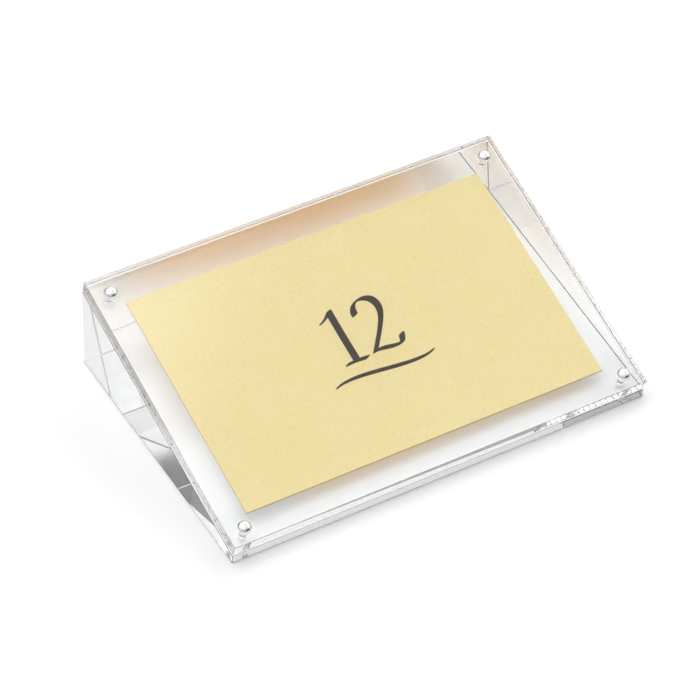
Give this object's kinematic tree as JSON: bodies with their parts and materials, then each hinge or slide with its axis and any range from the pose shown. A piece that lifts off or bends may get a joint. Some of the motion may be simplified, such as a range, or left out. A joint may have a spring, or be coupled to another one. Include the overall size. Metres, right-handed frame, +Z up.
{
  "type": "slanted sign holder",
  "caption": "Clear wedge block with a clear cover sheet pinned over its sloping top, holding a paper card face up between the two.",
  "frame": {"origin": "on the table, under the middle of the whole holder", "axes": "+X to the viewer's right along the width, +Y from the low front lip to the tall back wall, +Z up"},
  "size_m": [0.1396, 0.093, 0.034],
  "materials": {
    "clear_block": "clear acrylic, polished on every face and arris",
    "clear_sheet": "clear acrylic sheet with polished edges",
    "card_paper": "uncoated pale yellow card with a fine fleck",
    "card_print": "dark brown matt printing ink on the card",
    "pin_metal": "polished bright metal"
  },
  "bodies": {
    "base": {"wedge_base": "clear_block"},
    "cover": {"cover_sheet": "clear_sheet"},
    "card": {"card": "card_paper"},
    "pin_front_left": {"pin_front_left": "pin_metal"},
    "pin_front_right": {"pin_front_right": "pin_metal"},
    "pin_back_left": {"pin_back_left": "pin_metal"},
    "pin_back_right": {"pin_back_right": "pin_metal"}
  },
  "joints": [
    {"name": "cover_lift", "type": "slide", "parent": "base", "child": "cover", "axis": [0, -0.275, 0.9614], "range_m": [0, 0.02]},
    {"name": "card_slide", "type": "slide", "parent": "base", "child": "card", "axis": [1, 0, 0], "range_m": [0, 0.132]},
    {"name": "pull_front_left", "type": "slide", "parent": "cover", "child": "pin_front_left", "axis": [0, -0.275, 0.9614], "range_m": [0, 0.01]},
    {"name": "pull_front_right", "type": "slide", "parent": "cover", "child": "pin_front_right", "axis": [0, -0.275, 0.9614], "range_m": [0, 0.01]},
    {"name": "pull_back_left", "type": "slide", "parent": "cover", "child": "pin_back_left", "axis": [0, -0.275, 0.9614], "range_m": [0, 0.01]},
    {"name": "pull_back_right", "type": "slide", "parent": "cover", "child": "pin_back_right", "axis": [0, -0.275, 0.9614], "range_m": [0, 0.01]}
  ]
}
